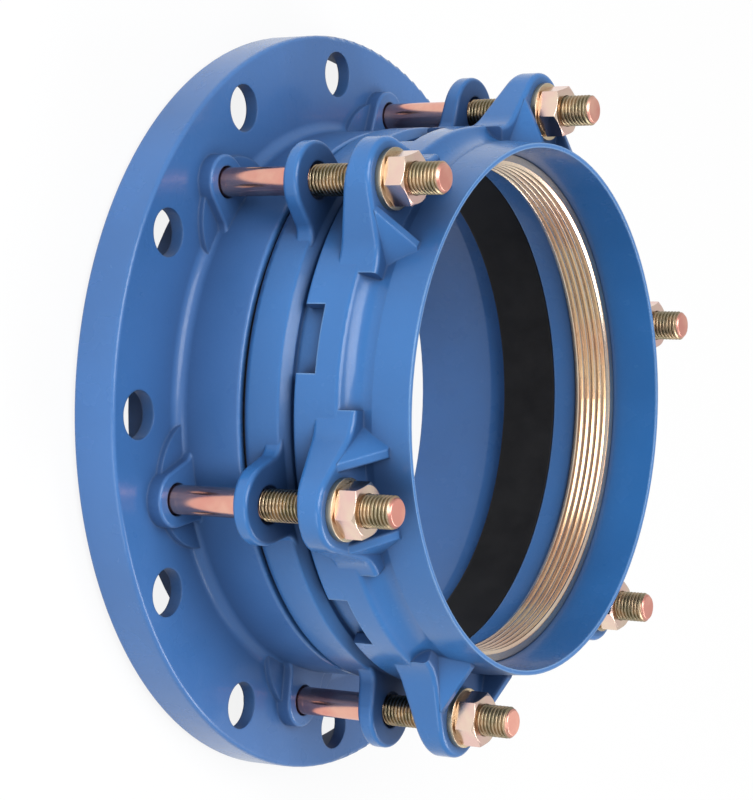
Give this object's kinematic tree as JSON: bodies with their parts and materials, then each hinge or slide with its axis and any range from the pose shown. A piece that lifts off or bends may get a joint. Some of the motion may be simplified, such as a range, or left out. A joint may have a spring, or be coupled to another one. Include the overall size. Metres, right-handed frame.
{
  "type": "flange adaptor",
  "caption": "Restrained flange adaptor: drilled flange with a hub, two loose rings drawn along studs, a rubber gasket and a toothed grip ring for a plain-ended plastic pipe.",
  "frame": {"origin": "centre of the flange's raised mating face", "axes": "+Z along the pipe axis from the flange to the pipe, +X through a bolt hole"},
  "size_m": [0.39, 0.39, 0.1585],
  "materials": {
    "blue_coating": "glossy blue epoxy coating over ductile iron",
    "black_rubber": "moulded, dull",
    "bronze": "bright turned",
    "yellow_zinc": "zinc plated and yellow passivated steel"
  },
  "bodies": {
    "base": {"flange_body": "blue_coating", "gasket": "black_rubber", "stud_1": "yellow_zinc", "stud_2": "yellow_zinc", "stud_3": "yellow_zinc", "stud_4": "yellow_zinc", "stud_5": "yellow_zinc", "stud_6": "yellow_zinc"},
    "gland": {"gland_ring": "blue_coating"},
    "clamp": {"clamp_ring": "blue_coating", "grip_ring": "bronze", "washer_1": "yellow_zinc", "washer_2": "yellow_zinc", "washer_3": "yellow_zinc", "washer_4": "yellow_zinc", "washer_5": "yellow_zinc", "washer_6": "yellow_zinc"},
    "turning_nut_1": {"nut_1": "yellow_zinc"},
    "turning_nut_2": {"nut_2": "yellow_zinc"},
    "turning_nut_3": {"nut_3": "yellow_zinc"},
    "turning_nut_4": {"nut_4": "yellow_zinc"},
    "turning_nut_5": {"nut_5": "yellow_zinc"},
    "turning_nut_6": {"nut_6": "yellow_zinc"}
  },
  "joints": [
    {"name": "clamp_draw", "type": "slide", "parent": "base", "child": "clamp", "axis": [0, 0, 1], "range_m": [-0.0025, 0.016]},
    {"name": "gland_draw", "type": "slide", "parent": "base", "child": "gland", "axis": [0, 0, 1], "range_m": [-0.0018, 0.0107], "deforming": ["gasket"]},
    {"name": "nut_1_turn", "type": "hinge", "parent": "clamp", "child": "turning_nut_1", "pos_m": [0.15455, 0.04141, 0.137], "axis": [0, 0, 1], "range_deg": [-455, 2885]},
    {"name": "nut_2_turn", "type": "hinge", "parent": "clamp", "child": "turning_nut_2", "pos_m": [0.04141, 0.15455, 0.137], "axis": [0, 0, 1], "range_deg": [-455, 2885]},
    {"name": "nut_3_turn", "type": "hinge", "parent": "clamp", "child": "turning_nut_3", "pos_m": [-0.11314, 0.11314, 0.137], "axis": [0, 0, 1], "range_deg": [-455, 2885]},
    {"name": "nut_4_turn", "type": "hinge", "parent": "clamp", "child": "turning_nut_4", "pos_m": [-0.15455, -0.04141, 0.137], "axis": [0, 0, 1], "range_deg": [-455, 2885]},
    {"name": "nut_5_turn", "type": "hinge", "parent": "clamp", "child": "turning_nut_5", "pos_m": [-0.04141, -0.15455, 0.137], "axis": [0, 0, 1], "range_deg": [-455, 2885]},
    {"name": "nut_6_turn", "type": "hinge", "parent": "clamp", "child": "turning_nut_6", "pos_m": [0.11314, -0.11314, 0.137], "axis": [0, 0, 1], "range_deg": [-455, 2885]}
  ],
  "couplings": [
    {"joint": "gland_draw", "follows": "clamp_draw", "ratio": 0.66},
    {"joint": "nut_1_turn", "follows": "clamp_draw", "rad_per_m": 3141.6},
    {"joint": "nut_2_turn", "follows": "clamp_draw", "rad_per_m": 3141.6},
    {"joint": "nut_3_turn", "follows": "clamp_draw", "rad_per_m": 3141.6},
    {"joint": "nut_4_turn", "follows": "clamp_draw", "rad_per_m": 3141.6},
    {"joint": "nut_5_turn", "follows": "clamp_draw", "rad_per_m": 3141.6},
    {"joint": "nut_6_turn", "follows": "clamp_draw", "rad_per_m": 3141.6}
  ]
}
